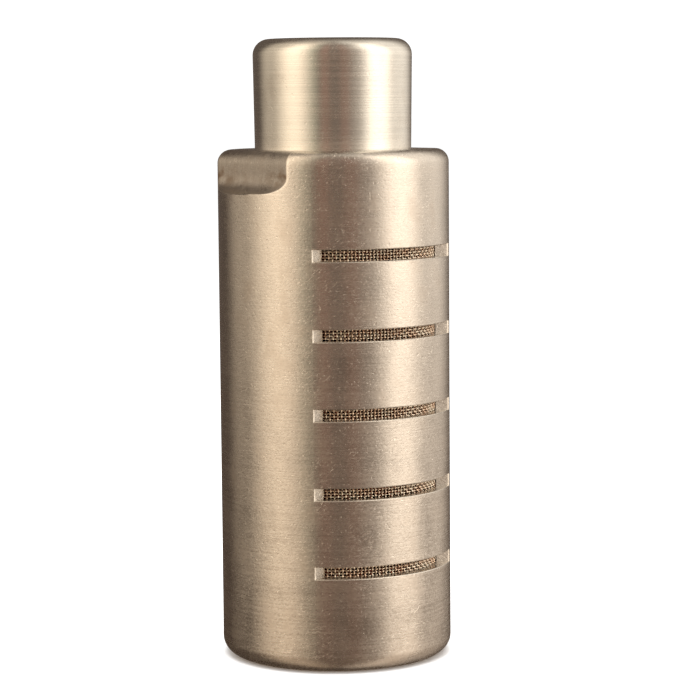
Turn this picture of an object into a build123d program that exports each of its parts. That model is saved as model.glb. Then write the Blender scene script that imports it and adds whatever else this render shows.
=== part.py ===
"""Stainless exhaust muffler for compressed air.

A slotted round housing with wrench flats, a turned neck with the inlet port, and a
cartridge of screens and packing rings that a disc spring pushes up against the head.

Millimetres. +Z runs up the axis to the inlet. The origin is the centre of the bottom.
The slots face -Y and +Y, and the wrench flats face -X and +X.
"""

from build123d import *
import os

# housing
HOUSING_R = 15.875
HOUSING_HEIGHT = 69.85
WALL = 1.65
HEAD_THICKNESS = 9.5
SHOULDER_ROUND = 1.85
BOTTOM_ROUND = 2.4
LIP_INNER_R = 12.0

# wrench flats
ACROSS_FLATS = 26.8
FLAT_LENGTH = 3.53
FLAT_FILLET = 2.2

# slots, each a plunge cut of a round saw
SLOT_WIDTH = 1.6
SLOT_COUNT = 5
SLOT_PITCH = 10.6
FIRST_SLOT_DROP = 12.97
SLOT_FLOOR = 9.5
SAW_R = 38.1

# inlet neck, with a port for a 3/8-18 NPT male thread
NECK_HEIGHT = 15.0
NECK_TOP_R = 10.9
NECK_FOOT_R = 10.73
NECK_ROUND = 2.2
PORT_R = 8.35
PORT_DEPTH = 13.5
PORT_CHAMFER = 0.25
PASSAGE_R = 6.2
SPIGOT_R = 8.8
SPIGOT_REACH = 2.8
CORE_SOCKET_DEPTH = 3.2

# o-ring on the spigot
O_RING_DEPTH = 1.1
O_RING_WIDTH = 1.7
O_RING_DROP = 3.0
O_RING_ROUND = 0.4

# core tube
CORE_R = 7.6
CORE_BORE_R = 6.9
CORE_HOLE_R = 1.1
CORE_HOLES_ROUND = 8
CORE_HOLE_ROWS = 9
CORE_HOLE_PITCH = 5.0
CORE_SCREEN_THICKNESS = 0.3

# screens, from the outside in
SCREEN_GAP = 0.065
OUTER_SCREEN_THICKNESS = 0.45
BACKING_SCREEN_THICKNESS = 0.58
LAYER_GAP = 0.03

# cartridge stack
GASKET_THICKNESS = 0.5
END_RING_FLANGE = 0.8
END_RING_BOSS = 1.6
END_RING_BORE_R = 9.0
SPACER_THICKNESS = 0.5
PACKING_RINGS = 4
SPRING_HEIGHT = 1.45
SPRING_THICKNESS = 0.7
SPRING_INNER_R = 8.0
SPRING_OUTER_R = 13.6
PLATE_THICKNESS = 2.0
PLATE_R = 14.1
PLATE_ROUND = 1.0

# levels and radii that follow from the sizes above
TOP = HOUSING_HEIGHT + NECK_HEIGHT
BORE_R = HOUSING_R - WALL
BORE_TOP = HOUSING_HEIGHT - HEAD_THICKNESS
SPIGOT_END = BORE_TOP - SPIGOT_REACH
PLATE_TOP = WALL + PLATE_THICKNESS
LOWER_GASKET_Z = PLATE_TOP + SPRING_HEIGHT
BOTTOM_RING_Z = LOWER_GASKET_Z + GASKET_THICKNESS
PACKING_Z = BOTTOM_RING_Z + END_RING_FLANGE + END_RING_BOSS
UPPER_GASKET_Z = BORE_TOP - GASKET_THICKNESS
TOP_RING_Z = UPPER_GASKET_Z - END_RING_FLANGE
PACKING_TOP = TOP_RING_Z - END_RING_BOSS
SCREEN_R = BORE_R - SCREEN_GAP
BACKING_R = SCREEN_R - OUTER_SCREEN_THICKNESS - LAYER_GAP
PACKING_R = BACKING_R - BACKING_SCREEN_THICKNESS - LAYER_GAP
CORE_SCREEN_R = CORE_R + LAYER_GAP + CORE_SCREEN_THICKNESS
PACKING_BORE_R = CORE_SCREEN_R + LAYER_GAP


def cylinder(radius, low, high):
    """A cylinder on the axis between two heights."""
    solid = Solid.make_cylinder(radius, high - low)
    return solid.moved(Location((0, 0, low)))


def tube(outer, inner, low, high):
    """A plain tube on the axis between two heights."""
    return cylinder(outer, low, high) - cylinder(inner, low - 1, high + 1)


def turned(outline):
    """The solid that an outline of (radius, height) lines and arcs makes when it is turned once round the axis."""
    face = make_face(outline.edges())
    return revolve(face, axis=Axis.Z)


def housing_blank():
    """The turned cup: a thick head, a thin wall, and a bottom edge rolled in over the end plate."""
    inner_round = BOTTOM_ROUND - WALL
    shoulder = HOUSING_HEIGHT - SHOULDER_ROUND
    with BuildSketch(Plane.XZ) as section:
        with BuildLine():
            Line((LIP_INNER_R, 0), (HOUSING_R - BOTTOM_ROUND, 0))
            RadiusArc((HOUSING_R - BOTTOM_ROUND, 0), (HOUSING_R, BOTTOM_ROUND), -BOTTOM_ROUND)
            Line((HOUSING_R, BOTTOM_ROUND), (HOUSING_R, shoulder))
            RadiusArc((HOUSING_R, shoulder), (HOUSING_R - SHOULDER_ROUND, HOUSING_HEIGHT), -SHOULDER_ROUND)
            Line((HOUSING_R - SHOULDER_ROUND, HOUSING_HEIGHT), (SPIGOT_R, HOUSING_HEIGHT))
            Line((SPIGOT_R, HOUSING_HEIGHT), (SPIGOT_R, BORE_TOP))
            Line((SPIGOT_R, BORE_TOP), (BORE_R, BORE_TOP))
            Line((BORE_R, BORE_TOP), (BORE_R, WALL + inner_round))
            RadiusArc((BORE_R, WALL + inner_round), (BORE_R - inner_round, WALL), inner_round)
            Line((BORE_R - inner_round, WALL), (LIP_INNER_R, WALL))
            Line((LIP_INNER_R, WALL), (LIP_INNER_R, 0))
        make_face()
    return revolve(section.sketch, axis=Axis.Z).solid()


def flat_cutter():
    """The space cleared beside one flat: the shoulder's round carried along it, the flat face, the
    concave fillet, and the run-out below."""
    face_x = ACROSS_FLATS / 2
    top_x = face_x - SHOULDER_ROUND
    shoulder = HOUSING_HEIGHT - SHOULDER_ROUND
    fillet_top = HOUSING_HEIGHT - FLAT_LENGTH
    fillet_foot = fillet_top - FLAT_FILLET
    beyond = HOUSING_R + 5
    above = HOUSING_HEIGHT + 5
    with BuildSketch(Plane.XZ) as section:
        with BuildLine():
            Line((top_x, above), (top_x, HOUSING_HEIGHT))
            RadiusArc((top_x, HOUSING_HEIGHT), (face_x, shoulder), SHOULDER_ROUND)
            Line((face_x, shoulder), (face_x, fillet_top))
            RadiusArc((face_x, fillet_top), (face_x + FLAT_FILLET, fillet_foot), -FLAT_FILLET)
            Line((face_x + FLAT_FILLET, fillet_foot), (beyond, fillet_foot))
            Line((beyond, fillet_foot), (beyond, above))
            Line((beyond, above), (top_x, above))
        make_face()
    return extrude(section.sketch, amount=HOUSING_R + 5, both=True).solid()


def slot_cutter(top):
    """The disc a round saw sweeps when it is plunged in from -Y, with its edge SLOT_FLOOR from the axis."""
    saw = cylinder(SAW_R, top - SLOT_WIDTH, top)
    return saw.moved(Location((0, -SLOT_FLOOR - SAW_R, 0)))


def slot_tops():
    """Height of the upper edge of each slot, from the head down."""
    first = HOUSING_HEIGHT - FIRST_SLOT_DROP
    return [first - row * SLOT_PITCH for row in range(SLOT_COUNT)]


def make_housing():
    """The slotted housing, with its slots and flats cut on both sides."""
    solid = housing_blank()
    for turn in (0, 180):
        around = Rotation(0, 0, turn)
        solid -= around * flat_cutter()
        for top in slot_tops():
            solid -= around * slot_cutter(top)
    return solid.solid()


def make_neck():
    """The turned neck: tapered outside, rounded rim, inlet port, and a spigot that goes through the head."""
    port_floor = TOP - PORT_DEPTH
    groove_top = HOUSING_HEIGHT - O_RING_DROP
    groove_foot = groove_top - O_RING_WIDTH
    groove_r = SPIGOT_R - O_RING_DEPTH
    rim_r = NECK_TOP_R - NECK_ROUND
    socket_r = CORE_R + LAYER_GAP
    socket_top = SPIGOT_END + CORE_SOCKET_DEPTH
    with BuildSketch(Plane.XZ) as section:
        with BuildLine():
            Line((PORT_R + PORT_CHAMFER, TOP), (rim_r, TOP))
            RadiusArc((rim_r, TOP), (NECK_TOP_R, TOP - NECK_ROUND), NECK_ROUND)
            Polyline(
                (NECK_TOP_R, TOP - NECK_ROUND),
                (NECK_FOOT_R, HOUSING_HEIGHT),
                (SPIGOT_R, HOUSING_HEIGHT),
                (SPIGOT_R, groove_top),
                (groove_r, groove_top),
                (groove_r, groove_foot),
                (SPIGOT_R, groove_foot),
                (SPIGOT_R, SPIGOT_END),
                (socket_r, SPIGOT_END),
                (socket_r, socket_top),
                (PASSAGE_R, socket_top),
                (PASSAGE_R, port_floor),
                (PORT_R, port_floor),
                (PORT_R, TOP - PORT_CHAMFER),
                (PORT_R + PORT_CHAMFER, TOP),
            )
        make_face()
    return revolve(section.sketch, axis=Axis.Z).solid()


def make_o_ring():
    """The O-ring as it sits, squeezed to fill its groove."""
    high = HOUSING_HEIGHT - O_RING_DROP
    low = high - O_RING_WIDTH
    ring = tube(SPIGOT_R, SPIGOT_R - O_RING_DEPTH, low, high)
    rims = ring.edges().filter_by(GeomType.CIRCLE)
    return ring.solid().fillet(O_RING_ROUND, rims)


def make_core_tube():
    """The perforated core: rows of holes, each row turned half a step from the one above."""
    low = BOTTOM_RING_Z + END_RING_FLANGE
    high = SPIGOT_END + CORE_SOCKET_DEPTH
    solid = tube(CORE_R, CORE_BORE_R, low, high)
    first = PACKING_Z + CORE_HOLE_PITCH
    step = 360 / CORE_HOLES_ROUND
    holes = []
    for row in range(CORE_HOLE_ROWS):
        for place in range(CORE_HOLES_ROUND):
            turn = (place + 0.5 * (row % 2)) * step
            drill = Solid.make_cylinder(CORE_HOLE_R, 2 * CORE_R, Plane.YZ)
            holes.append(Rotation(0, 0, turn) * Location((0, 0, first + row * CORE_HOLE_PITCH)) * drill)
    return solid.cut(*holes).solid()


def make_core_plug():
    """The stepped plug in the core tube's lower end."""
    shoulder = BOTTOM_RING_Z + END_RING_FLANGE
    flange = cylinder(CORE_R, BOTTOM_RING_Z, shoulder)
    spigot = cylinder(CORE_BORE_R - LAYER_GAP, shoulder, PACKING_Z)
    return (flange + spigot).solid()


def make_end_ring(flange_z, boss_z, bore_r):
    """A cartridge end ring: a flange that the screens butt against, and a boss that they wrap."""
    flange = tube(SCREEN_R, bore_r, flange_z, flange_z + END_RING_FLANGE)
    boss = tube(PACKING_R, bore_r, boss_z, boss_z + END_RING_BOSS)
    return (flange + boss).solid()


def make_disc_spring():
    """A conical spring washer, high at its outer edge."""
    low = PLATE_TOP
    high = low + SPRING_HEIGHT
    with BuildSketch(Plane.XZ) as section:
        with BuildLine():
            Polyline(
                (SPRING_INNER_R, low),
                (SPRING_INNER_R, low + SPRING_THICKNESS),
                (SPRING_OUTER_R, high),
                (SPRING_OUTER_R, high - SPRING_THICKNESS),
                (SPRING_INNER_R, low),
            )
        make_face()
    return revolve(section.sketch, axis=Axis.Z).solid()


def make_end_plate():
    """The bottom plate, rounded where it rests in the rolled edge."""
    plate = cylinder(PLATE_R, WALL, PLATE_TOP)
    rim = plate.edges().filter_by(GeomType.CIRCLE).sort_by(Axis.Z)[0]
    return plate.fillet(PLATE_ROUND, [rim])


def packing():
    """The packing rings and the spacers between them, as a dictionary of node names and solids."""
    gaps = PACKING_RINGS - 1
    ring_height = (PACKING_TOP - PACKING_Z - gaps * SPACER_THICKNESS) / PACKING_RINGS
    pieces = {}
    high = PACKING_TOP
    for number in range(1, PACKING_RINGS + 1):
        low = high - ring_height
        pieces[f"packing_ring_{number}"] = tube(PACKING_R, PACKING_BORE_R, low, high)
        if number <= gaps:
            high = low - SPACER_THICKNESS
            pieces[f"packing_spacer_{number}"] = tube(PACKING_R, PACKING_BORE_R, high, low)
    return pieces


def make_parts():
    """Every piece of the muffler, as a dictionary of node names and solids."""
    screen_low = BOTTOM_RING_Z + END_RING_FLANGE
    parts = {
        "housing": make_housing(),
        "inlet_neck": make_neck(),
        "neck_o_ring": make_o_ring(),
        "outer_screen": tube(SCREEN_R, SCREEN_R - OUTER_SCREEN_THICKNESS, screen_low, TOP_RING_Z),
        "backing_screen": tube(BACKING_R, BACKING_R - BACKING_SCREEN_THICKNESS, screen_low, TOP_RING_Z),
        "core_tube": make_core_tube(),
        "core_plug": make_core_plug(),
        "core_screen": tube(CORE_SCREEN_R, CORE_R + LAYER_GAP, PACKING_Z, SPIGOT_END),
        "top_end_ring": make_end_ring(TOP_RING_Z, TOP_RING_Z - END_RING_BOSS, END_RING_BORE_R),
        "bottom_end_ring": make_end_ring(BOTTOM_RING_Z, BOTTOM_RING_Z + END_RING_FLANGE, CORE_R + LAYER_GAP),
        "upper_gasket": tube(SCREEN_R, END_RING_BORE_R, UPPER_GASKET_Z, BORE_TOP),
        "lower_gasket": tube(SCREEN_R, END_RING_BORE_R, LOWER_GASKET_Z, BOTTOM_RING_Z),
        "disc_spring": make_disc_spring(),
        "end_plate": make_end_plate(),
    }
    parts.update(packing())
    return parts


os.makedirs("parts", exist_ok=True)
for name, solid in make_parts().items():
    export_step(solid, f"parts/{name}.step")
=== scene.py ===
# %% [markdown]
# # A stainless exhaust muffler, built in cells
#
# The real object is a turned steel housing with sawn slots, a smaller turned neck on top, and a
# woven wire screen that shows behind the slots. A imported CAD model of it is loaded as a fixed
# frame. The cells below add what a CAD model lacks: crisp broken edges, a real woven screen, a
# cut pipe thread, and surfaces that look machined, handled and worn.

# %% Load the frame
import math

import bmesh
import bpy
import numpy as np
from mathutils import Matrix, Vector


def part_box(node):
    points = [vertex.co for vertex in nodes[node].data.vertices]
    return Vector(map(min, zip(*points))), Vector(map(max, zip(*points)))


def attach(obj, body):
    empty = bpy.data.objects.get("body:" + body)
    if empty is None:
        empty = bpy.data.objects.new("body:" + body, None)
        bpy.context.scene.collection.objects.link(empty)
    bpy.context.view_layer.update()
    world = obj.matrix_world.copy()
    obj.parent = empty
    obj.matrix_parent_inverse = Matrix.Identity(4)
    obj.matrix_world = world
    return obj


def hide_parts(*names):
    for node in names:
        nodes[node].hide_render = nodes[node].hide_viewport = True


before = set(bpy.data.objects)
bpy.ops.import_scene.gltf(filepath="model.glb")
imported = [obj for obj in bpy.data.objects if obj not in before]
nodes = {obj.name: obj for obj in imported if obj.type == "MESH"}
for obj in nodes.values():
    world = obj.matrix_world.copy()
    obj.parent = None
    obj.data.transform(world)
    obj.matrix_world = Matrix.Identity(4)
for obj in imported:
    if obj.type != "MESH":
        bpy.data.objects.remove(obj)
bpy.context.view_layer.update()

MM = 0.001

# %% [markdown]
# ## Sizes
#
# Everything is in metres, in the frame of the CAD model: +Z runs up the axis and the origin is the
# centre of the bottom. The outer sizes are read from the frame, so the visible surfaces land where
# the CAD has them. Sizes that a bounding box can't tell, such as the wall and the slots, are
# named here.

# %% Sizes of the housing and the neck
low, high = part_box("housing")
HOUSING_R = high.y
HOUSING_TOP = high.z
WALL = 1.65 * MM
BORE_R = HOUSING_R - WALL
BORE_TOP = HOUSING_TOP - 9.5 * MM
SHOULDER_ROUND = 1.85 * MM
BOTTOM_ROUND = 2.4 * MM
LIP_R = 12.0 * MM
HEAD_HOLE_R = 8.8 * MM

FLAT_X = 13.4 * MM
FLAT_FOOT = HOUSING_TOP - 3.53 * MM
FLAT_FILLET = 2.2 * MM

SLOT_WIDTH = 1.6 * MM
SLOT_PITCH = 10.6 * MM
SLOT_TOPS = [HOUSING_TOP - 12.97 * MM - row * SLOT_PITCH for row in range(5)]
EDGE_BREAK = 0.12 * MM

NECK_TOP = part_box("inlet_neck")[1].z
NECK_TOP_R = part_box("inlet_neck")[1].x
NECK_FOOT_R = NECK_TOP_R - 0.17 * MM
NECK_ROUND = 2.2 * MM
PORT_R = 8.35 * MM
print("housing radius and top, mm:", round(HOUSING_R / MM, 3), round(HOUSING_TOP / MM, 3))

# %% [markdown]
# ## The camera
#
# A long lens from a little above the shoulder keeps the sides nearly parallel. The camera stands 35
# degrees round from the slots, so that one wrench flat shows at the left and the slots at the right.

# %% Camera
CAMERA_DISTANCE = 347.0 * MM
CAMERA_HEIGHT = 77.3 * MM
CAMERA_AROUND = math.radians(34.8)
CAMERA_PITCH = math.radians(5.8)
CAMERA_YAW = math.radians(0.348)
CAMERA_ROLL = math.radians(-0.46)
LENS_MM = 129.6


def aimed_camera():
    """A camera at a distance and height, turned round the Z axis, whose view direction is tipped down
    by the pitch, swung right by the yaw, and rolled about itself."""
    forward = Vector((
        math.sin(CAMERA_YAW) * math.cos(CAMERA_PITCH),
        math.cos(CAMERA_YAW) * math.cos(CAMERA_PITCH),
        -math.sin(CAMERA_PITCH),
    ))
    level = forward.cross(Vector((0, 0, 1))).normalized()
    upright = level.cross(forward)
    right = level * math.cos(CAMERA_ROLL) + upright * math.sin(CAMERA_ROLL)
    up = upright * math.cos(CAMERA_ROLL) - level * math.sin(CAMERA_ROLL)
    around = Matrix.Rotation(-CAMERA_AROUND, 3, "Z")
    place = (around @ Matrix((right, up, -forward)).transposed()).to_4x4()
    place.translation = around @ Vector((0, -CAMERA_DISTANCE, CAMERA_HEIGHT))
    lens = bpy.data.cameras.new("camera")
    lens.lens = LENS_MM
    lens.sensor_width = 36
    camera = bpy.data.objects.new("camera", lens)
    camera.matrix_world = place
    bpy.context.scene.collection.objects.link(camera)
    bpy.context.scene.camera = camera
    return camera


camera = aimed_camera()
print("camera at, mm:", [round(v / MM, 1) for v in camera.matrix_world.translation])

# %% [markdown]
# ## Nodes written as arithmetic
#
# A procedural finish is a small formula: a pattern, squeezed between two limits, mixed with another.
# In Blender each step of it is a node. Wrapping a node's socket in a class with + - * / lets the
# formula be read as one, while the nodes are still there to be opened in the shader editor.

# %% Wires between nodes
class Wire:
    """One output socket. Arithmetic on it adds Math nodes, and Wire.node adds any other kind."""

    def __init__(self, socket):
        self.socket = socket

    @staticmethod
    def node(tree, kind, settings=None, inputs=None, output=0):
        """A new node: its settings are set first, then each named or numbered input gets its value
        or wire. The result is the wrapped output."""
        made = tree.nodes.new("ShaderNode" + kind)
        for name, value in (settings or {}).items():
            setattr(made, name, value)
        for name, value in (inputs or {}).items():
            if isinstance(value, Wire):
                tree.links.new(value.socket, made.inputs[name])
            else:
                made.inputs[name].default_value = value
        return Wire(made.outputs[output])

    @property
    def tree(self):
        return self.socket.id_data

    def math(self, operation, first, second=0.0):
        return Wire.node(self.tree, "Math", {"operation": operation}, {0: first, 1: second})

    def vector(self, operation, other, output=0):
        return Wire.node(self.tree, "VectorMath", {"operation": operation}, {0: self, 1: other}, output)

    def scaled(self, factor):
        return Wire.node(self.tree, "VectorMath", {"operation": "SCALE"}, {0: self, "Scale": factor})

    def part(self, axis):
        return Wire.node(self.tree, "SeparateXYZ", {}, {0: self}, axis)

    def rise(self, low, high):
        """0 at low, 1 at high, and a smooth S between; low may be the larger."""
        settings = {"interpolation_type": "SMOOTHSTEP"}
        return Wire.node(self.tree, "MapRange", settings, {"Value": self, "From Min": low, "From Max": high})

    def grey(self):
        return Wire.node(self.tree, "CombineXYZ", {}, {0: self, 1: self, 2: self})

    def size(self):
        return self.math("ABSOLUTE", self)

    def __add__(self, other):
        return self.math("ADD", self, other)

    __radd__ = __add__

    def __sub__(self, other):
        return self.math("SUBTRACT", self, other)

    def __rsub__(self, other):
        return self.math("SUBTRACT", other, self)

    def __mul__(self, other):
        return self.math("MULTIPLY", self, other)

    __rmul__ = __mul__

    def __truediv__(self, other):
        return self.math("DIVIDE", self, other)


def mixed(factor, first, second, blend="MIX"):
    """A colour that goes from first to second with the factor."""
    settings = {"data_type": "RGBA", "blend_type": blend}
    return Wire.node(factor.tree, "Mix", settings, {0: factor, 6: first, 7: second}, 2)


def opaque(red, green, blue):
    return (red, green, blue, 1.0)


print("wires ready")

# %% [markdown]
# ## The studio
#
# Metal has no colour of its own to show: it shows the room. This room is a light tent with a tall
# soft panel on each side of the camera, a lamp behind each panel, and a dim gap in front, where the
# camera stands. Narrow red and green strips in the gap put a little colour into the dim part of a
# reflection. Reflections read the room from the direction of the ray. Everything else gets plain
# white light, so that the floor stays pale.

# %% World light
CREAM = (1.0, 0.84, 0.65)
PALE = (1.0, 0.90, 0.78)
NEUTRAL = (1.0, 0.97, 0.93)
BROWN = (1.0, 0.77, 0.62)
RED = (1.0, 0.36, 0.22)
GREEN = (0.35, 1.0, 0.60)
PANELS = (
    # middle, half width and fade in degrees right of the camera, brightness, the share of it that
    # is left below the horizon, and its colour
    (0.0, 180.0, 1.0, 0.13, 0.68, BROWN),
    (0.0, 32.0, 22.0, 0.16, 0.62, BROWN),
    (-82.0, 25.0, 30.0, 0.66, 0.03, CREAM),
    (-57.0, 3.0, 40.0, 1.30, 0.40, CREAM),
    (92.0, 26.0, 52.0, 1.02, 0.34, PALE),
    (70.0, 5.0, 28.0, 1.50, 0.32, PALE),
    (116.0, 8.0, 30.0, 0.22, 0.40, NEUTRAL),
    (-11.0, 4.0, 4.0, 0.17, 0.10, RED),
    (18.0, 4.0, 5.0, 0.14, 0.10, RED),
    (-29.0, 5.0, 6.0, 0.08, 0.10, GREEN),
)
PANEL_FOOT, PANEL_LEVEL = -0.22, 0.0  # sine of the elevation where the panels change their share
CEILING = (0.36, 0.31, 0.26)
CEILING_START, CEILING_FULL = 0.78, 0.98
PANELS_LOST_OVERHEAD = 0.65
WARM_BELOW = (1, 0.9, 0.82)
PLAIN_LIGHT = 1.12


def studio_world():
    """A world whose colour is a sum of soft-edged panels round the horizon. Each panel is full within
    its half width of its middle and fades out beyond. Below the horizon it falls to its own share and
    turns warmer, and overhead a ceiling takes over from most of it."""
    world = bpy.data.worlds.new("studio")
    bpy.context.scene.world = world
    world.use_nodes = True
    world.cycles.sampling_method = "NONE"
    tree = world.node_tree
    direction = Wire.node(tree, "TexCoord")
    turned = direction.math("ARCTAN2", direction.part(0), 0.0 - direction.part(1)) * (180 / math.pi)
    turned = turned + math.degrees(CAMERA_AROUND)
    turned = Wire.node(tree, "Math", {"operation": "WRAP"}, {0: turned, 1: 180.0, 2: -180.0})
    height = direction.part(2)
    raised_part = height.rise(PANEL_FOOT, PANEL_LEVEL)
    wall = direction.scaled(0.0)
    for middle, half_width, fade, brightness, below, tone in PANELS:
        panel = (turned - middle).size().rise(half_width + fade, half_width) * brightness
        panel = panel * (below + (1.0 - below) * raised_part)
        wall = wall.vector("ADD", Wire.node(tree, "CombineXYZ", {}, dict(enumerate(tone))).scaled(panel))
    ceiling = Wire.node(tree, "CombineXYZ", {}, dict(enumerate(CEILING)))
    overhead = height.rise(CEILING_START, CEILING_FULL)
    wall = wall.scaled(1.0 - overhead * PANELS_LOST_OVERHEAD).vector("ADD", ceiling.scaled(overhead))
    wall = wall.vector("MULTIPLY", mixed(height.rise(-0.02, -0.2), opaque(1, 1, 1), opaque(*WARM_BELOW)))
    rays = Wire.node(tree, "LightPath", output="Is Glossy Ray")
    light = mixed(rays, opaque(PLAIN_LIGHT, PLAIN_LIGHT, PLAIN_LIGHT), wall)
    tree.links.new(light.socket, tree.nodes["Background"].inputs["Color"])
    return world


studio_world()
bpy.context.scene.view_settings.view_transform = "Standard"
print("studio world with", len(PANELS), "panels")

# %% [markdown]
# ## The floor and the overhead light
#
# A pale floor takes a soft contact shadow. It is seen through from below, so that the underside of
# the object can be looked at too, and reflections pass it by, as they would on a raised stand.

# %% Floor and lamp
FLOOR_REACH = 6.0
LAMP_HEIGHT = 0.5
LAMP_SIDE = 0.45
LAMP_WATTS = 3.0


def pale_floor():
    """One square in the plane z = 0, pale from above and clear from below."""
    mesh = bpy.data.meshes.new("floor")
    corners = [(x * FLOOR_REACH, y * FLOOR_REACH, 0.0) for x, y in ((-1, -1), (1, -1), (1, 1), (-1, 1))]
    mesh.from_pydata(corners, [], [(0, 1, 2, 3)])
    floor = bpy.data.objects.new("floor", mesh)
    bpy.context.scene.collection.objects.link(floor)
    floor.visible_glossy = False
    material = bpy.data.materials.new("pale_floor")
    material.use_nodes = True
    tree = material.node_tree
    tree.nodes["Principled BSDF"].inputs["Base Color"].default_value = opaque(0.93, 0.93, 0.93)
    tree.nodes["Principled BSDF"].inputs["Roughness"].default_value = 0.9
    tree.nodes["Principled BSDF"].inputs["Specular IOR Level"].default_value = 0.0
    below = Wire.node(tree, "NewGeometry", output="Backfacing")
    clear = Wire.node(tree, "BsdfTransparent")
    shown = Wire(tree.nodes["Principled BSDF"].outputs[0])
    either = Wire.node(tree, "MixShader", {}, {0: below, 1: shown, 2: clear})
    tree.links.new(either.socket, tree.nodes["Material Output"].inputs["Surface"])
    mesh.materials.append(material)
    return floor


def overhead_lamp():
    """A wide soft lamp above the object, which the camera doesn't see."""
    light = bpy.data.lights.new("overhead", "AREA")
    light.size = LAMP_SIDE
    light.energy = LAMP_WATTS
    lamp = bpy.data.objects.new("overhead", light)
    lamp.location = (0.0, 0.0, LAMP_HEIGHT)
    lamp.visible_camera = False
    lamp.visible_glossy = False
    bpy.context.scene.collection.objects.link(lamp)
    return lamp


pale_floor()
overhead_lamp()
print("floor and lamp placed")

# %% [markdown]
# ## Finishes
#
# Every turned piece carries the marks of its lathe tool: fine lines that run round the axis on the
# sides and in rings on the faces. One number does both. The height plus the distance from the axis
# is the same all the way round, and it changes along the side and across the face, so a noise that
# is fine along that number and long across x and y gives the lines. Handling adds short scratches
# and pits, and blotches of slightly darker metal.

# %% Patterns that the finishes share
def new_finish(name, **constants):
    """A material, its Principled shader with these constants, and the position in the object."""
    material = bpy.data.materials.new(name)
    material.use_nodes = True
    tree = material.node_tree
    shader = tree.nodes["Principled BSDF"]
    for socket, value in constants.items():
        shader.inputs[socket.replace("_", " ")].default_value = value
    return material, shader, Wire.node(tree, "TexCoord", output="Object")


def grain(place, grain_mm, detail=2.0, turn=(0.0, 0.0, 0.0), shift=(0.0, 0.0, 0.0)):
    """Noise from 0 to 1 whose cells are grain_mm long along x, y and z, after a turn in radians."""
    stretch = [1.0 / (side * MM) for side in grain_mm]
    turned = Wire.node(place.tree, "Mapping", {}, {"Vector": place, "Rotation": turn})
    scaled = turned.vector("MULTIPLY", stretch).vector("ADD", shift)
    return Wire.node(place.tree, "TexNoise", {}, {"Vector": scaled, "Scale": 1.0, "Detail": detail})


RADIUS_SHARE = 0.83


def lathe_place(place):
    """x, y, and the height plus most of the distance from the axis."""
    radius = place.vector("MULTIPLY", (1.0, 1.0, 0.0)).vector("LENGTH", (0.0, 0.0, 0.0), "Value")
    along = place.part(2) + radius * RADIUS_SHARE
    return Wire.node(place.tree, "CombineXYZ", {}, {0: place.part(0), 1: place.part(1), 2: along})


def join(shader, **links):
    """Links each wire to the shader's socket of that name."""
    for socket, wire in links.items():
        wire.tree.links.new(wire.socket, shader.inputs[socket.replace("_", " ")])


def raised(height, depth_mm, normal=None):
    """The surface normal that this height from 0 to 1 would give at that real depth."""
    inputs = {"Height": height, "Distance": depth_mm * MM, "Strength": 1.0}
    if normal is not None:
        inputs["Normal"] = normal
    return Wire.node(height.tree, "Bump", {}, inputs)


print("patterns ready")

# %% Turned steel
STEEL = opaque(0.60, 0.565, 0.515)
# Bare bright steel, for scratches and pits, and for the painted highlight on marked edges.
WORN_AND_HIGHLIT_STEEL = opaque(0.86, 0.82, 0.75)
TARNISH = opaque(0.40, 0.34, 0.28)
RUST = opaque(0.30, 0.17, 0.08)


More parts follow.
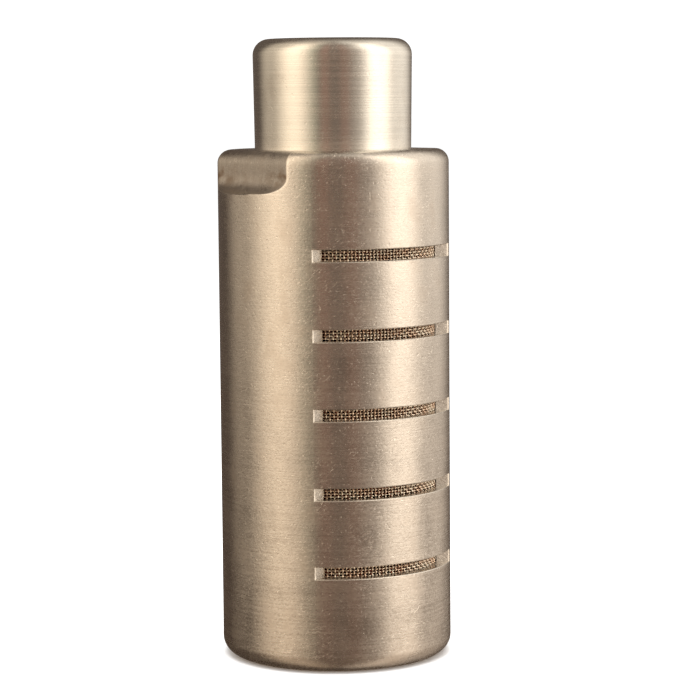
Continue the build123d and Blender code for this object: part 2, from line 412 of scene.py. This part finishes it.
def turned_steel(
    name, tint=STEEL, gloss=0.3, streaks=0.7, line_mm=0.12, lines_show=0.2, satin=1.0, scratch=1.0, wear_and_highlight=0.0
):
    """Steel with lathe lines line_mm apart. Gloss is the roughness between scratches, streaks is how far
    reflections stretch along the axis, lines_show, satin and scratch are how much the tool's lines, the fine
    grain and the handling marks show, and the last argument is how much brighter the marked edges are
    painted: partly wear, partly a painted highlight of edges catching the light."""
    material, shader, place = new_finish(
        name, Metallic=1.0, Anisotropic=streaks, Anisotropic_Rotation=0.25
    )
    lathe = lathe_place(place)
    lines = grain(lathe, (14.0, 14.0, line_mm), 3.0).rise(0.30, 0.70)
    waves = grain(lathe, (30.0, 30.0, line_mm * 7), 2.0, shift=(3.0, 1.0, 7.0))
    bow = grain(place, (7.0, 7.0, 7.0), 1.0) * (2.0 * MM)
    bent_z = lathe.part(2) + bow
    bent = Wire.node(place.tree, "CombineXYZ", {}, {0: place.part(0), 1: place.part(1), 2: bent_z})
    cuts = grain(bent, (1.1, 1.1, 0.08), 1.0).rise(0.63, 0.72)
    slanted = grain(bent, (1.0, 1.0, 0.09), 1.0, turn=(0.5, 0.5, 0.0), shift=(6.0, 3.0, 8.0)).rise(0.66, 0.74)
    cuts = cuts.math("MAXIMUM", cuts, slanted)
    where = grain(place, (6.0, 6.0, 9.0), 2.0, shift=(2.0, 5.0, 1.0)).rise(0.42, 0.60)
    cuts = cuts * where * scratch
    pits = grain(place, (0.30, 0.30, 0.30), 0.0).rise(0.76, 0.80) * scratch
    dents = grain(place, (0.55, 0.55, 0.55), 0.0, shift=(5.0, 5.0, 2.0)).rise(0.77, 0.82) * scratch
    speckle = grain(place, (0.34, 0.34, 0.20), 3.0, shift=(1.0, 8.0, 3.0)).rise(0.25, 0.75)
    blotch = grain(place, (3.2, 3.2, 4.5), 4.0, shift=(9.0, 2.0, 4.0))
    tarnish = blotch.rise(0.48, 0.76) * (0.40 * min(1.0, scratch))
    shade = 1.0 + (lines - 0.5) * lines_show + (blotch - 0.5) * (0.5 * satin)
    shade = shade + (speckle - 0.5) * (0.20 * satin)
    colour = mixed(tarnish, tint, TARNISH).vector("MULTIPLY", shade.grey())
    colour = mixed(cuts * 0.6 + pits * 0.7, colour, WORN_AND_HIGHLIT_STEEL)
    rough = gloss + (lines - 0.5) * 0.08 + (blotch - 0.5) * 0.12 + tarnish * 0.16
    rough = rough + (speckle - 0.5) * (0.08 * satin) - cuts * 0.06
    # Marked edges are painted brighter: partly wear, partly a painted highlight where a rounded edge catches
    # the light.
    if wear_and_highlight:
        edge = Wire.node(place.tree, "Attribute", {"attribute_name": "wear_and_highlight"}, output="Fac")
        edge = edge * (0.6 + grain(place, (1.6, 1.6, 1.6), 3.0) * 0.8)
        colour = mixed(edge.rise(0.1, 0.9) * wear_and_highlight, colour, WORN_AND_HIGHLIT_STEEL)
        rough = rough + edge * (0.12 * wear_and_highlight)
    orange_peel = grain(place, (0.42, 0.42, 0.42), 2.0)
    normal = raised(lines * 0.6 + waves * 0.5, 0.003)
    normal = raised(orange_peel, 0.009 * satin, normal)
    normal = raised(speckle, 0.003 * satin, normal)
    normal = raised(cuts * 1.1 + pits * 1.5 + dents * 1.5, -0.006, normal)
    join(shader, Base_Color=colour, Roughness=rough, Normal=normal)
    return material, shader, place


print("turned steel ready")

# %% [markdown]
# ## The finish of each piece
#
# The housing is satin, from tumbling and years of handling. Its wrench flats were milled, so their
# marks run up and down, and brown stains sit in the corners where they meet the round. The neck is
# smoother and brighter. The screens are drawn wire: stainless outside, phosphor bronze behind it.

# %% Housing, with milled and stained flats
def housing_finish():
    """Turned steel everywhere but on the flats, whose marks stand upright, with stains low on them."""
    material, shader, place = turned_steel(
        "housing_steel", gloss=0.27, line_mm=0.2, lines_show=0.07, wear_and_highlight=0.8
    )
    across, height = place.part(1).size(), place.part(2)
    on_flat = Wire.node(place.tree, "Attribute", {"attribute_name": "milled"}, output="Fac")
    milled = grain(place, (2.0, 0.11, 2.4), 3.0)
    low_band = (height - (FLAT_FOOT - 0.1 * MM)).size().rise(1.9 * MM, 0.2 * MM)
    corners = 0.25 + across.rise(3.5 * MM, 7.0 * MM)
    spots = grain(place, (2.2, 2.2, 1.6), 4.0, shift=(4.0, 4.0, 4.0)).rise(0.40, 0.68)
    stain = low_band * corners * spots * on_flat
    colour = Wire(shader.inputs["Base Color"].links[0].from_socket)
    rough = Wire(shader.inputs["Roughness"].links[0].from_socket)
    colour = mixed(on_flat * milled.rise(0.35, 0.75) * 0.35, colour, TARNISH)
    colour = mixed(stain * 0.62, colour, RUST)
    # Darker in a band along the foot of the flat, where it curves out to the ledge.
    flat_foot_darkening = (height - (FLAT_FOOT - 0.8 * MM)).size().rise(1.3 * MM, 0.2 * MM) * on_flat
    colour = mixed(flat_foot_darkening * grain(place, (1.0, 1.4, 1.0), 4.0).rise(0.35, 0.65) * 0.55, colour, TARNISH)
    normal = Wire(shader.inputs["Normal"].links[0].from_socket)
    normal = raised(milled * on_flat, 0.012, normal)
    join(shader, Base_Color=colour, Roughness=rough + stain * 0.25 + on_flat * 0.05, Normal=normal)
    return material


HOUSING_FINISH = housing_finish()
NECK_FINISH = turned_steel(
    "neck_steel", tint=opaque(0.67, 0.66, 0.615), gloss=0.25, streaks=0.7, line_mm=0.17, lines_show=0.2,
    satin=0.3, scratch=0.55, wear_and_highlight=0.6
)[0]
PLATE_FINISH = turned_steel(
    "plate_steel", gloss=0.34, streaks=0.4, line_mm=0.2, lines_show=0.3, scratch=0.8
)[0]
CARTRIDGE_FINISH = turned_steel("cartridge_steel", gloss=0.38, streaks=0.3, scratch=0.3)[0]
SPRING_FINISH = turned_steel(
    "spring_steel", tint=opaque(0.42, 0.40, 0.40), gloss=0.30, streaks=0.2, scratch=0.3
)[0]
print("steel finishes:", [m.name for m in bpy.data.materials if m.name.endswith("steel")])


# %% Wire, felt, gasket and rubber
def wire_finish(name, tint, dirt, gloss):
    """Drawn wire: fine marks, a dull film in places, and bright metal elsewhere."""
    material, shader, place = new_finish(name, Metallic=1.0)
    film = grain(place, (1.7, 1.7, 1.2), 3.0).rise(0.38, 0.70)
    speck = grain(place, (0.16, 0.16, 0.16), 1.0)
    colour = mixed(film * 0.5, tint, dirt)
    normal = raised(speck, 0.004)
    join(shader, Base_Color=colour, Roughness=gloss + film * 0.15 + speck * 0.08, Normal=normal)
    return material


def felt_finish():
    """Pressed fibre: two crossed noises, long one way each, raise short hairs; the colour follows."""
    material, shader, place = new_finish(
        "packing_felt", Roughness=0.95, Sheen_Weight=0.35, Sheen_Roughness=0.5
    )
    level = grain(place, (1.1, 1.1, 0.07), 3.0, turn=(0.3, 0.2, 0.0))
    steep = grain(place, (0.08, 0.08, 1.1), 3.0, turn=(0.3, -0.2, 0.0))
    hairs = level.math("MAXIMUM", level, steep)
    soiled = grain(place, (5.0, 5.0, 7.0), 3.0).rise(0.35, 0.7)
    colour = mixed(hairs.rise(0.4, 0.75), opaque(0.05, 0.028, 0.017), opaque(0.21, 0.135, 0.085))
    colour = mixed(soiled * 0.6, colour, opaque(0.055, 0.028, 0.018))
    join(shader, Base_Color=colour, Normal=raised(hairs, 0.12))
    return material


def fibre_finish():
    """Compressed fibre sheet: a grey-green board with pale fibres lying flat."""
    material, shader, place = new_finish("fibre_gasket")
    fibres = grain(place, (1.4, 0.12, 0.3), 2.0).math("MAXIMUM", grain(place, (0.12, 1.4, 0.3), 2.0), 0.5)
    colour = mixed(fibres.rise(0.55, 0.75), opaque(0.12, 0.15, 0.13), opaque(0.34, 0.36, 0.30))
    join(shader, Base_Color=colour, Roughness=0.75 + fibres * 0.15, Normal=raised(fibres, 0.02))
    return material


def rubber_finish():
    """Moulded rubber: near black, with a faint bloom and a fine matt skin."""
    material, shader, place = new_finish("rubber_seal", Specular_IOR_Level=0.4)
    bloom = grain(place, (2.5, 2.5, 1.2), 3.0).rise(0.4, 0.75)
    skin = grain(place, (0.1, 0.1, 0.1), 1.0)
    colour = mixed(bloom * 0.4, opaque(0.018, 0.018, 0.019), opaque(0.075, 0.075, 0.078))
    join(shader, Base_Color=colour, Roughness=0.45 + bloom * 0.25, Normal=raised(skin, 0.004))
    return material


SCREEN_FINISH = wire_finish("screen_steel", opaque(1.0, 0.93, 0.80), opaque(0.85, 0.50, 0.31), 0.09)
BRONZE_FINISH = wire_finish("screen_bronze", opaque(0.30, 0.08, 0.05), opaque(0.05, 0.015, 0.012), 0.22)
FELT_FINISH = felt_finish()
GASKET_FINISH = fibre_finish()
RUBBER_FINISH = rubber_finish()
print("finishes in all:", len(bpy.data.materials) - 1)

# %% [markdown]
# ## From numbers to a mesh
#
# A turned piece is a grid: the rows follow its outline, the columns go round the axis, and each cell
# is a face. numpy works out a whole grid at once. The corners of the faces are numbers in the same
# grid, so a wall between two rows is the same few lines of code as the side itself.

# %% Building helpers
def cells(rows, open_row=False):
    """The faces between neighbouring rows of point numbers. Each row closes into a ring unless it
    is said to be open."""
    rows = np.asarray(rows)
    if not open_row:
        rows = np.hstack([rows, rows[:, :1]])
    corners = (rows[:-1, :-1], rows[:-1, 1:], rows[1:, 1:], rows[1:, :-1])
    return np.stack(corners, axis=-1)


def bend(centre_r, centre_z, radius, start, end, steps):
    """Points of a round in an outline: centre plus radius times the cosine and sine of an angle
    that goes from start to end, in degrees."""
    angle = np.radians(np.linspace(start, end, steps + 1))
    return np.stack([centre_r + radius * np.cos(angle), centre_z + radius * np.sin(angle)], axis=1)


def build(name, points, faces, material, stands_for, marks=None, crease=32.0):
    """A piece from its points and its four-cornered faces. Marks are named numbers for each point,
    which a finish can read. Double points are merged, the faces are turned outwards, and edges
    sharper than the crease in degrees stay sharp."""
    mesh = bpy.data.meshes.new(name)
    corners = np.asarray(faces).reshape(-1, 4)
    mesh.from_pydata(np.asarray(points).reshape(-1, 3).tolist(), [], corners.tolist())
    for mark, values in (marks or {}).items():
        layer = mesh.attributes.new(mark, "FLOAT", "POINT")
        layer.data.foreach_set("value", values.ravel().astype(np.float32))
    shape = bmesh.new()
    shape.from_mesh(mesh)
    bmesh.ops.remove_doubles(shape, verts=shape.verts, dist=0.0005 * MM)
    bmesh.ops.recalc_face_normals(shape, faces=shape.faces)
    shape.to_mesh(mesh)
    open_edges = sum(1 for edge in shape.edges if not edge.is_manifold)
    shape.free()
    mesh.shade_smooth()
    mesh.set_sharp_from_angle(angle=math.radians(crease))
    mesh.materials.append(material)
    piece = bpy.data.objects.new(name, mesh)
    bpy.context.scene.collection.objects.link(piece)
    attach(piece, "root")
    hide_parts(stands_for)
    triangles = sum(len(face.vertices) - 2 for face in mesh.polygons)
    print(f"{name}: {triangles} triangles, {open_edges} open edges")
    return piece


print("building helpers ready")

# %% [markdown]
# ## The housing
#
# The housing is one closed grid. Its outline goes up the outside, in over the shoulder, down the
# bore and out through the rolled lip. The wrench flats come from holding the radius under
# flat / cos(angle), which is a plane, and a soft minimum rounds the worn edge where the two meet.
# The flats take the shoulder's round with them. The columns are not evenly spaced: they crowd where a
# flat or a slot ends, so that those edges are straight and crisp. The slots leave cells out of the
# outer and inner skins and wall the gap between, with an extra row just inside each mouth that
# keeps the broken edge's shading off the wall.

# %% Columns of the housing
QUARTER_COLUMNS = np.cumsum([0, 18, 6, 16, 1, 28])
SLOT_START = QUARTER_COLUMNS[4]
QUARTER, ROUND = QUARTER_COLUMNS[-1], 4 * QUARTER_COLUMNS[-1]
CREASE_HALF = 0.9
LEAST_CREASE = 10.0
OUTER_SLOT_END = 44.9
INNER_SLOT_END = 48.64
SLOT_END_MARGIN = 0.35
FLAT_CREASE = 32.4


def column_angles(crease, slot_end):
    """Angles in radians round the axis from +X, a row of them for each crease angle in degrees. A
    quarter turn is 0, crease, slot end and 90 degrees, evenly filled between; it is mirrored to make
    a half turn, and the half turn is repeated."""
    still = np.zeros_like(crease)
    stops = [still, crease - CREASE_HALF, crease + CREASE_HALF]
    stops += [still + slot_end - SLOT_END_MARGIN, still + slot_end, still + 90.0]
    shares = [np.interp(np.arange(QUARTER + 1), QUARTER_COLUMNS, stop) for stop in np.eye(6)]
    quarter = np.stack(stops, axis=1) @ np.stack(shares)
    half = np.hstack([quarter[:, :-1], 180.0 - quarter[:, :0:-1]])
    return np.radians(np.hstack([half, half + 180.0]))


print("columns round the housing:", ROUND)


# %% The housing's outline, slots and walls
LEDGE_DROP = 0.12 * MM
WORN_ROUND = 0.16 * MM
THROAT_SHARE = 0.1
LEAST_COSINE = 0.05
HOUSING_CREASE = 16.0


def soft_minimum(first, second, reach):
    """The smaller of two lengths, less a quarter of (reach - gap) squared over reach where they are
    nearer than reach, which rounds the corner between them. The overlap share is returned too."""
    overlap = np.clip(reach - np.abs(first - second), 0, None) / reach
    return np.minimum(first, second) - overlap ** 2 * reach / 4, overlap


def housing_outline():
    """Radius, height and flat distance of each outer row from the lip up to the head's hole."""
    lip = [(LIP_R, 0.0)]
    foot = bend(HOUSING_R - BOTTOM_ROUND, BOTTOM_ROUND, BOTTOM_ROUND, -90, 0, 12)
    slots = [
        (HOUSING_R, top + step)
        for top in reversed(SLOT_TOPS)
        for step in (-SLOT_WIDTH - EDGE_BREAK, -SLOT_WIDTH, 0.0, EDGE_BREAK)
    ]
    fillet = np.linspace(90, 0, 9)
    fillet_z = FLAT_FOOT - FLAT_FILLET * np.sin(np.radians(fillet))
    fillet_flat = FLAT_X + FLAT_FILLET * (1 - np.cos(np.radians(fillet)))
    ledge = [(HOUSING_R, FLAT_FOOT - FLAT_FILLET - drop * LEDGE_DROP) for drop in (2.5, 1.0)]
    sides = [(HOUSING_R, z) for z in fillet_z]
    upright = [(HOUSING_R, FLAT_FOOT + rise * MM) for rise in (0.5, 1.0)]
    shoulder = bend(HOUSING_R - SHOULDER_ROUND, HOUSING_TOP - SHOULDER_ROUND, SHOULDER_ROUND, 0, 90, 12)
    top = [(FLAT_X - SHOULDER_ROUND - 0.35 * MM, HOUSING_TOP), (HEAD_HOLE_R, HOUSING_TOP)]
    below = np.vstack([lip, foot, slots, ledge])
    above = np.vstack([upright, shoulder, top])
    outline = np.vstack([below, sides, above])
    drawn_in = np.minimum(HOUSING_R - above[:, 0], SHOULDER_ROUND)
    flat = np.concatenate([np.full(len(below), 1.0), fillet_flat, FLAT_X - drawn_in])
    return outline, flat, len(lip) + len(foot)


def bore_outline():
    """Radius and height of each inner row from the head's hole down to the lip."""
    slots = [(BORE_R, top - drop) for top in SLOT_TOPS for drop in (0.0, SLOT_WIDTH)]
    inner_round = BOTTOM_ROUND - WALL
    lip = bend(BORE_R - inner_round, BOTTOM_ROUND, inner_round, 0, -90, 4)
    return np.vstack([[(HEAD_HOLE_R, BORE_TOP), (BORE_R, BORE_TOP)], slots, lip, [(LIP_R, WALL)]])


def make_housing():
    """Outer rows and inner rows as one ring of rows, with the slot cells left out and walled."""
    outline, flat, first_slot = housing_outline()
    reach = np.maximum(outline[:, 0], HOUSING_R - SHOULDER_ROUND)
    crease = np.degrees(np.arccos(np.clip(flat / reach, 0, 1)))
    crease = np.maximum(crease, LEAST_CREASE)
    angle = column_angles(crease, OUTER_SLOT_END)
    cut = flat[:, None] / np.maximum(np.abs(np.cos(angle)), LEAST_COSINE)
    # The soft round's overlap share also marks the flat's edge to be painted bright: wear and a painted
    # highlight.
    radius, wear_and_highlight = soft_minimum(outline[:, :1], cut, WORN_ROUND)
    slot_columns = np.arange(SLOT_START, 2 * QUARTER - SLOT_START + 1)
    both_sides = np.concatenate([slot_columns, slot_columns + 2 * QUARTER])
    mouths = first_slot + 4 * np.arange(len(SLOT_TOPS))[:, None] + np.array([1, 2])
    radius[np.ix_(mouths.ravel(), both_sides)] -= EDGE_BREAK
    # The broken slot edges are marked to be painted bright as well: wear and a painted highlight.
    wear_and_highlight[np.ix_(mouths.ravel(), both_sides)] = 1.0
    heights = np.broadcast_to(outline[:, 1:], radius.shape)
    milled = (cut < outline[:, :1]).astype(float)

    bore = bore_outline()
    inner_angle = column_angles(np.full(len(bore), FLAT_CREASE), INNER_SLOT_END)
    radius = np.vstack([radius, np.broadcast_to(bore[:, :1], inner_angle.shape)])
    heights = np.vstack([heights, np.broadcast_to(bore[:, 1:], inner_angle.shape)])
    angle = np.vstack([angle, inner_angle])
    points = np.stack([radius * np.cos(angle), radius * np.sin(angle), heights], axis=-1)

    number = np.arange(angle.size).reshape(angle.shape)
    skin = cells(np.vstack([number, number[:1]]))
    kept = np.ones(skin.shape[:2], bool)
    points = points.reshape(-1, 3)
    walls = []
    for row, (low, high) in enumerate(mouths):
        inner_high = len(outline) + 2 + 2 * (len(SLOT_TOPS) - 1 - row)
        for columns in (slot_columns, slot_columns + 2 * QUARTER):
            kept[low, columns[:-1]] = kept[inner_high, columns[:-1]] = False
            mouth = number[np.ix_([low, high], columns)]
            inner = number[np.ix_([inner_high + 1, inner_high], columns)]
            throat = len(points) + np.arange(mouth.size).reshape(mouth.shape)
            inside = points[mouth] + (points[inner] - points[mouth]) * THROAT_SHARE
            points = np.vstack([points, inside.reshape(-1, 3)])
            for edge in (0, 1):
                walls.append(cells([mouth[edge], throat[edge], inner[edge]], open_row=True))
            for end in (0, -1):
                walls.append(cells([mouth[:, end], throat[:, end], inner[:, end]], open_row=True))
    faces = np.vstack([skin[kept]] + [wall.reshape(-1, 4) for wall in walls])
    spare = len(points) - wear_and_highlight.size
    marks = {"wear_and_highlight": np.append(wear_and_highlight, np.zeros(spare)), "milled": np.append(milled, np.zeros(spare))}
    return build(
        "housing_shell", points, faces, HOUSING_FINISH, "housing", marks, HOUSING_CREASE
    )


housing = make_housing()

# %% [markdown]
# ## The neck and its pipe thread
#
# The neck is turned too: the same kind of grid. Inside its port the radius follows a thread, a
# trapezoid wave of the height minus the turn, so the ridge climbs one pitch each time round.

# %% Neck with a cut thread
THREAD_PITCH = 25.4 / 18 * MM
THREAD_DEPTH = 0.85 * MM
THREAD_ROWS = 150
NECK_COLUMNS = 144
PORT_FLOOR = NECK_TOP - 13.5 * MM
PORT_CHAMFER = 0.25 * MM
THREAD_TOP = NECK_TOP - PORT_CHAMFER
ROOT_FLAT, FLANKS = 0.08, 0.80
PASSAGE_R = 6.2 * MM
SPIGOT_END = BORE_TOP - 2.8 * MM
SOCKET_R = 7.63 * MM
SOCKET_TOP = SPIGOT_END + 3.2 * MM
GROOVE_TOP = HOUSING_TOP - 3.0 * MM
GROOVE_WIDTH = 1.7 * MM
GROOVE_DEPTH = 1.1 * MM


def thread_ridge(turn, height, rise):
    """How far the ridge stands in, 0 to 1: a triangle wave of height / pitch - turn with its peaks
    and roots cut off flat, fading in over the first and last pitch."""
    wave = np.mod(height / THREAD_PITCH - turn / (2 * math.pi), 1.0)
    ridge = np.clip((1 - np.abs(2 * wave - 1) - ROOT_FLAT) / FLANKS, 0, 1)
    start = np.clip((THREAD_TOP - height) / THREAD_PITCH * 1.6 + 0.2, 0, 1)
    return ridge * np.clip(rise / THREAD_PITCH, 0, 1) * start


def make_neck():
    """Rows up the outside, over the rim, down the thread, the passage and the socket, and back up
    the spigot with its seal groove."""
    rim_r = NECK_TOP_R - NECK_ROUND
    side = np.linspace([NECK_FOOT_R, HOUSING_TOP], [NECK_TOP_R, NECK_TOP - NECK_ROUND], 6)
    rim = bend(rim_r, NECK_TOP - NECK_ROUND, NECK_ROUND, 0, 90, 14)[1:]
    mouth = [(PORT_R + PORT_CHAMFER, NECK_TOP)]
    thread_z = np.linspace(THREAD_TOP, PORT_FLOOR, THREAD_ROWS)
    thread = np.stack([np.full(THREAD_ROWS, PORT_R), thread_z], axis=1)
    passage = [(PASSAGE_R, PORT_FLOOR), (PASSAGE_R, SOCKET_TOP)]
    socket = [(SOCKET_R, SOCKET_TOP), (SOCKET_R, SPIGOT_END)]
    groove_r = HEAD_HOLE_R - GROOVE_DEPTH
    spigot = [
        (HEAD_HOLE_R, SPIGOT_END),
        (HEAD_HOLE_R, GROOVE_TOP - GROOVE_WIDTH),
        (groove_r, GROOVE_TOP - GROOVE_WIDTH),
        (groove_r, GROOVE_TOP),
        (HEAD_HOLE_R, GROOVE_TOP),
        (HEAD_HOLE_R, HOUSING_TOP),
    ]
    outline = np.vstack([side, rim, mouth, thread, passage, socket, spigot])
    first = len(side) + len(rim) + len(mouth)
    turn = np.linspace(0, 2 * math.pi, NECK_COLUMNS, endpoint=False)[None, :]
    radius = np.repeat(outline[:, :1], NECK_COLUMNS, axis=1)
    ridge = thread_ridge(turn, thread_z[:, None], thread_z[:, None] - PORT_FLOOR)
    radius[first:first + THREAD_ROWS] -= THREAD_DEPTH * ridge
    heights = np.broadcast_to(outline[:, 1:], radius.shape)
    points = np.stack([radius * np.cos(turn), radius * np.sin(turn), heights], axis=-1)
    # The neck's foot and the top of its rim are marked to be painted bright: wear and a painted highlight.
    wear_and_highlight = np.zeros(radius.shape)
    wear_and_highlight[:1] = 0.7
    wear_and_highlight[first - 2:first] = 0.8
    number = np.arange(radius.size).reshape(radius.shape)
    faces = cells(np.vstack([number, number[:1]]))
    return build("threaded_neck", points, faces, NECK_FINISH, "inlet_neck", {"wear_and_highlight": wear_and_highlight})


neck = make_neck()

# %% [markdown]
# ## The woven screens
#
# A plain weave is two sets of wires, each passing over and under the other in turn. An upright wire
# stands out where the sum of its number and the ring's number is even, and in where it is odd; the
# ring does the opposite. The uprights are the stouter set and swing further. Each wire is a
# four-sided tube with smooth shading, which is enough at this size. Behind the slots each crossing
# gets two points, so the wire lies flat over its neighbour, and one elsewhere.

# %% Woven wire
WALLS = {"outer_screen": 0.45 * MM, "backing_screen": 0.58 * MM}
UPRIGHT_SHARE = 0.25
RING_SHARE = 0.18
RING_SWING = 0.20


def tube_faces(paths, closed):
    """Faces of four-sided tubes, for point numbers (tubes, points, 4). Open tubes get end caps."""
    around = np.concatenate([paths, paths[:, :, :1]], axis=2)
    if closed:
        around = np.concatenate([around, around[:, :1]], axis=1)
    corners = (around[:, :-1, :-1], around[:, :-1, 1:], around[:, 1:, 1:], around[:, 1:, :-1])
    sides = np.stack(corners, axis=-1).reshape(-1, 4)
    if closed:
        return sides
    return np.vstack([sides, paths[:, 0, ::-1], paths[:, -1]])


def wire_points(radius, angle, height, wire_r, along_ring):
    """Corners of each tube: the centre line, plus the wire's radius outward and sideways by the
    cosine and sine of four angles. Sideways is up for a ring, and round the axis for an upright."""
    spin = np.arange(4) * math.pi / 2 + math.pi / 4
    out = radius[..., None] + wire_r * np.cos(spin)
    side = wire_r * np.sin(spin)
    if along_ring:
        turned, level = angle[..., None] + 0 * side, height[..., None] + side
    else:
        turned, level = angle[..., None] + side / radius[..., None], height[..., None] + 0 * side
    return np.stack([out * np.cos(turned), out * np.sin(turned), level + 0 * out], axis=-1)


def crossing_samples(places, step, fine):
    """Points along a wire: two for each crossing that is marked fine, a quarter step either side
    of it, and one for each that isn't. With them, the number of the crossing they belong to."""
    which = np.repeat(np.arange(len(places)), np.where(fine, 2, 1))
    offset = np.zeros(len(which))
    second = np.concatenate([[False], which[1:] == which[:-1]])
    offset[np.where(second)[0]] = step / 4
    offset[np.where(second)[0] - 1] = -step / 4
    return places[which] + offset, which


def near_slots(heights):
    """Whether each height can be seen through a slot."""
    middles = np.array(SLOT_TOPS) - SLOT_WIDTH / 2
    return np.abs(heights[:, None] - middles).min(axis=1) < SLOT_WIDTH


def weave(node, label, uprights, ring_pitch, material):
    """A woven sleeve that fills the node's own box, in four pieces: the even uprights, the odd ones,
    the rings behind the slots and the rings between them. A wire's radius and the swing of a ring are
    shares of the wall; an upright swings by its own radius, so it just fills the wall."""
    low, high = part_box(node)
    wall = WALLS[node]
    middle_r = high.y - wall / 2
    upright_r, ring_r = wall * UPRIGHT_SHARE, wall * RING_SHARE
    rings = int((high.z - low.z - wall / 2) / ring_pitch) + 1
    margin = (high.z - low.z - (rings - 1) * ring_pitch) / 2
    ring_z = low.z + margin + ring_pitch * np.arange(rings)
    step = 2 * math.pi / uprights
    upright_angle = step * np.arange(uprights)
    seen = near_slots(ring_z)

    along, ring_of = crossing_samples(ring_z, ring_pitch, seen)
    number = np.arange(uprights)[:, None]
    out = middle_r + upright_r * np.where((number + ring_of) % 2 == 0, 1.0, -1.0)
    spread = np.broadcast_to(along, out.shape)
    points = wire_points(out, np.broadcast_to(upright_angle[:, None], out.shape), spread, upright_r, False)
    for parity, name in enumerate(("even", "odd")):
        chosen = points[parity::2]
        faces = tube_faces(np.arange(chosen[..., 0].size).reshape(chosen.shape[:3]), False)
        build(f"{label}_uprights_{name}", chosen, faces, material, node, crease=180)

    for name, fine in (("behind_slots", True), ("between_slots", False)):
        around, upright_of = crossing_samples(upright_angle, step, np.full(uprights, fine))
        number = np.where(seen == fine)[0][:, None]
        out = middle_r - (wall * RING_SWING) * np.where((number + upright_of) % 2 == 0, 1.0, -1.0)
        level = np.broadcast_to(ring_z[number[:, 0]][:, None], out.shape)
        points = wire_points(out, np.broadcast_to(around, out.shape), level, ring_r, True)
        faces = tube_faces(np.arange(points[..., 0].size).reshape(points.shape[:3]), True)
        build(f"{label}_rings_{name}", points, faces, material, node, crease=180)
    print(f"{label}: {uprights} uprights {2 * upright_r / MM:.3f} mm thick, and {rings} rings")


weave("outer_screen", "fine_screen", 172, 0.40 * MM, SCREEN_FINISH)
weave("backing_screen", "coarse_screen", 110, 0.74 * MM, BRONZE_FINISH)

# %% [markdown]
# ## Finishes on the CAD's own pieces
#
# The pieces that stay as the CAD made them get their finish in their own material slots.

# %% Assigning finishes
FINISH_OF = {
    "end_plate": PLATE_FINISH,
    "core_tube": CARTRIDGE_FINISH,
    "core_plug": CARTRIDGE_FINISH,
    "core_screen": SCREEN_FINISH,
    "packing_ring": FELT_FINISH,
    "packing_spacer": CARTRIDGE_FINISH,
    "top_end_ring": CARTRIDGE_FINISH,
    "bottom_end_ring": CARTRIDGE_FINISH,
    "upper_gasket": GASKET_FINISH,
    "lower_gasket": GASKET_FINISH,
    "disc_spring": SPRING_FINISH,
    "neck_o_ring": RUBBER_FINISH,
}
for name, node in nodes.items():
    for start, finish in FINISH_OF.items():
        if name.startswith(start):
            node.data.materials.clear()
            node.data.materials.append(finish)
print("CAD pieces shown:", sorted(name for name, node in nodes.items() if not node.hide_render))
